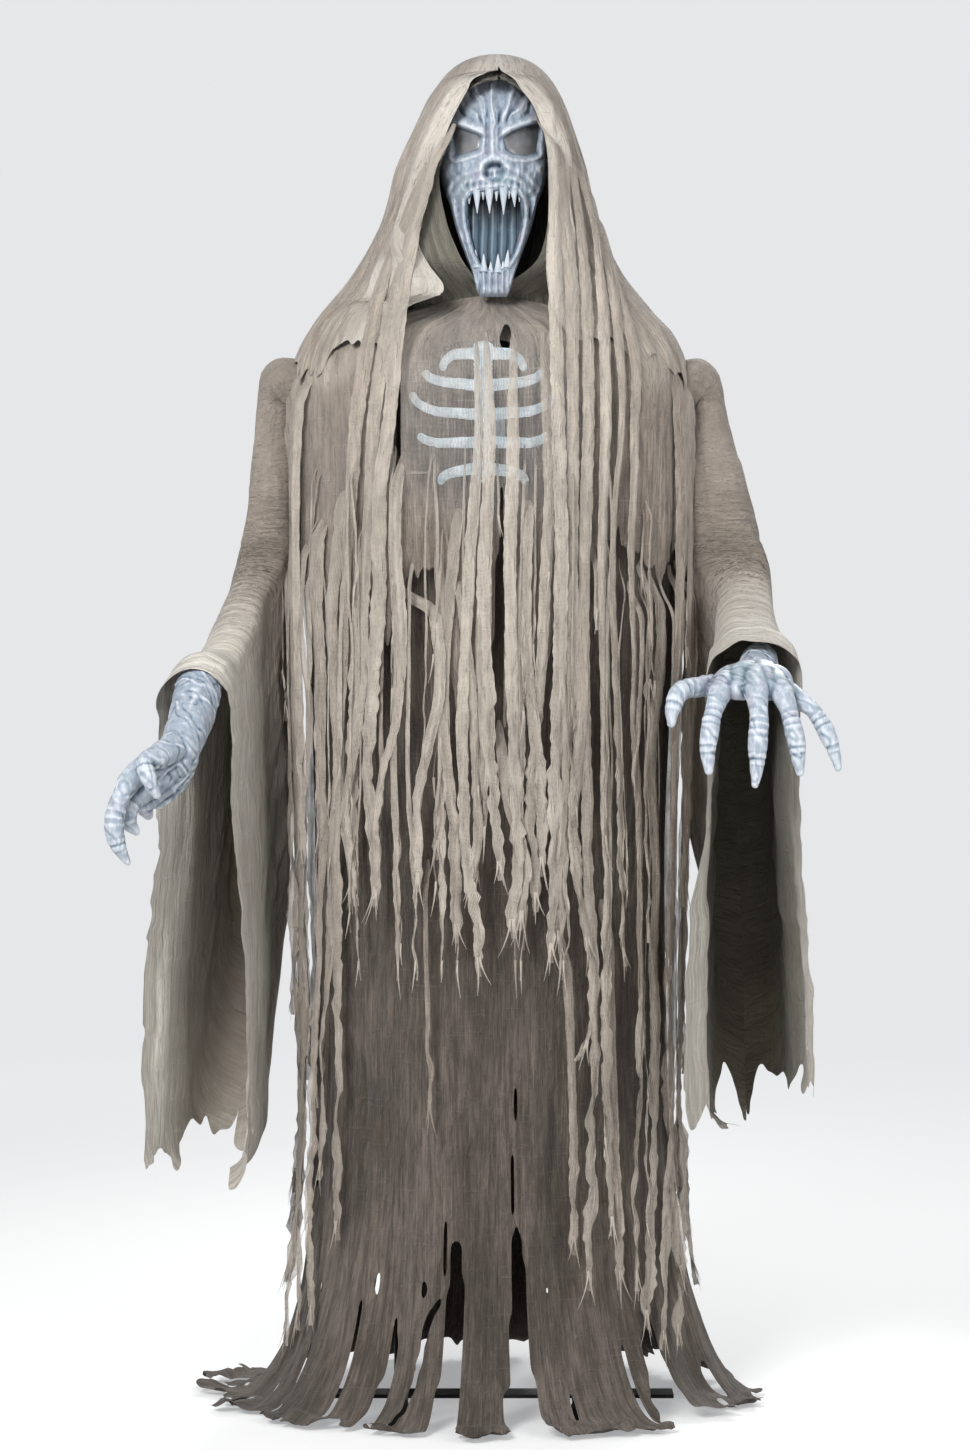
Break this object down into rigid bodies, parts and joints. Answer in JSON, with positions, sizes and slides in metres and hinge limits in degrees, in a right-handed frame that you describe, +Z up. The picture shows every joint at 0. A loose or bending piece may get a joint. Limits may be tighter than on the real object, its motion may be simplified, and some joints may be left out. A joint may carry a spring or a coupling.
{
  "type": "animated halloween prop",
  "caption": "Life-size hooded ghoul in ragged gauze on a hidden steel stand; its torso turns by motor, the arms swing and the hands twist.",
  "frame": {"origin": "on the floor under the turning axis, at the middle of the base tie bar's underside", "axes": "+Z up; the figure faces -Y; +X is to the right as a viewer in front sees it"},
  "size_m": [0.9091, 0.7297, 1.829],
  "materials": {
    "black_steel": "satin",
    "zinc_steel": "satin",
    "white_acetal": "satin",
    "brass": "satin",
    "black_rubber": "matte",
    "black_plastic": "matte",
    "pale_moulding": "satin",
    "mouth_paint": "satin",
    "grey_lens": "gloss",
    "red_button": "gloss",
    "lamp_lens": "gloss",
    "circuit_board": "satin",
    "robe_cloth": "matte",
    "pale_gauze": "matte",
    "dark_lining": "matte",
    "cream_cloth": "matte"
  },
  "bodies": {
    "stand": {"base_tie_bar": "black_steel", "left_foot_rail": "black_steel", "right_foot_rail": "black_steel", "left_front_foot_cap": "black_rubber", "right_front_foot_cap": "black_rubber", "left_rear_foot_cap": "black_rubber", "right_rear_foot_cap": "black_rubber", "left_leg_tube": "black_steel", "right_leg_tube": "black_steel", "leg_brace": "black_steel", "hip_bar": "black_steel", "motor_bracket": "zinc_steel", "gear_motor": "zinc_steel", "swivel_bearing": "white_acetal", "skirt_front_panel": "robe_cloth", "skirt_right_panel": "robe_cloth", "skirt_back_panel": "robe_cloth", "skirt_left_panel": "robe_cloth", "control_box": "black_plastic", "control_box_lid": "black_plastic", "control_board": "circuit_board", "speaker": "zinc_steel", "dc_inlet": "black_plastic"},
    "torso": {"spindle": "zinc_steel", "sector_gear": "white_acetal", "spine_tube": "black_steel", "shoulder_bar": "black_steel", "neck_tube": "black_steel", "left_shoulder_bolt": "zinc_steel", "right_shoulder_bolt": "zinc_steel", "left_shoulder_pad": "black_plastic", "right_shoulder_pad": "black_plastic", "rib_plate": "pale_moulding", "rib_strap": "zinc_steel", "chest_lamp": "lamp_lens", "robe_top": "robe_cloth", "gauze_poncho": "pale_gauze", "head_form": "black_plastic", "ghoul_mask": "pale_moulding", "mouth_panel": "mouth_paint", "left_eye_lens": "grey_lens", "right_eye_lens": "grey_lens", "hood": "pale_gauze", "hood_lining": "dark_lining"},
    "pinion": {"drive_pinion": "brass"},
    "try_button": {"try_button": "red_button"},
    "mode_switch": {"mode_switch": "white_acetal"},
    "left_arm": {"left_arm_tube": "black_steel", "left_sleeve": "cream_cloth"},
    "left_hand": {"left_hand": "pale_moulding"},
    "right_arm": {"right_arm_tube": "black_steel", "right_sleeve": "cream_cloth"},
    "right_hand": {"right_hand": "pale_moulding"}
  },
  "joints": [
    {"name": "body_turn", "type": "hinge", "parent": "stand", "child": "torso", "pos_m": [0, 0, 0.86], "axis": [0, 0, 1], "range_deg": [-15, 15]},
    {"name": "pinion_turn", "type": "hinge", "parent": "stand", "child": "pinion", "pos_m": [0, 0.054, 0.876], "axis": [0, 0, 1], "range_deg": [-45, 45]},
    {"name": "try_button_press", "type": "slide", "parent": "stand", "child": "try_button", "axis": [0, -1, 0], "range_m": [0, 0.002], "stiffness_N_per_m": 200},
    {"name": "mode_switch_slide", "type": "slide", "parent": "stand", "child": "mode_switch", "axis": [1, 0, 0], "range_m": [-0.002, 0.002]},
    {"name": "left_arm_swing", "type": "hinge", "parent": "torso", "child": "left_arm", "pos_m": [-0.288, 0, 1.385], "axis": [-1, 0, 0], "range_deg": [-5, 25]},
    {"name": "left_hand_twist", "type": "hinge", "parent": "left_arm", "child": "left_hand", "pos_m": [-0.418, -0.3, 0.885], "axis": [-0.2768, -0.7703, -0.5745], "range_deg": [-25, 25]},
    {"name": "right_arm_swing", "type": "hinge", "parent": "torso", "child": "right_arm", "pos_m": [0.288, 0, 1.385], "axis": [-1, 0, 0], "range_deg": [-5, 25]},
    {"name": "right_hand_twist", "type": "hinge", "parent": "right_arm", "child": "right_hand", "pos_m": [0.335, -0.335, 0.968], "axis": [-0.0282, -0.922, -0.3863], "range_deg": [-25, 25]}
  ],
  "couplings": [
    {"joint": "pinion_turn", "follows": "body_turn", "ratio": -3}
  ]
}
